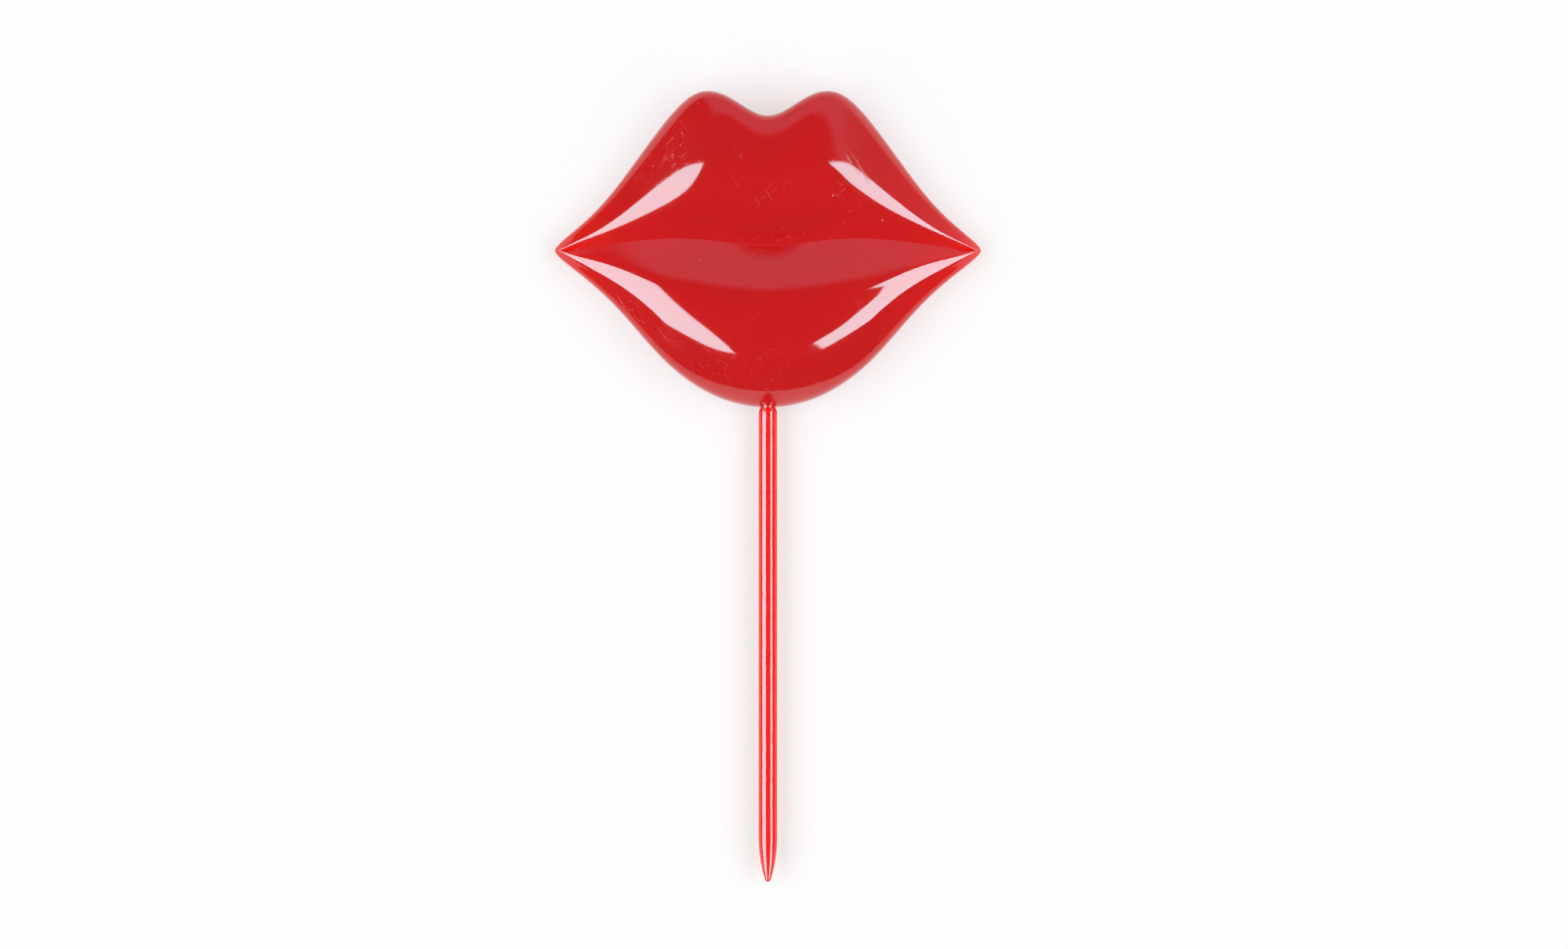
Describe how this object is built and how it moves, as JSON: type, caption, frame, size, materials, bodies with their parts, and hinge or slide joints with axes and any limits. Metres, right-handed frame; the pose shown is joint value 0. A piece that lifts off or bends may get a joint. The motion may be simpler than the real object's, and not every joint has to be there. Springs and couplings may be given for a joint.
{
  "type": "lip-shaped party pick",
  "caption": "Glossy red lip-shaped party pick: hollow puffed lips with a soft mouth crease, plugged onto a thin round stick with a pointed end.",
  "frame": {"origin": "on the resting plane, under the middle of the whole length from the bow peaks to the stick's tip", "axes": "+Z out of the front of the lips, +Y from the stick's tip towards the bow of the upper lip, +X to the right as seen from the front"},
  "size_m": [0.041, 0.0762, 0.0067],
  "materials": {
    "lip_red": "polished, faintly translucent red polystyrene",
    "stick_red": "polished, more translucent red polystyrene"
  },
  "bodies": {
    "root": {"lip_shell": "lip_red", "pick_stick": "stick_red"}
  },
  "joints": []
}
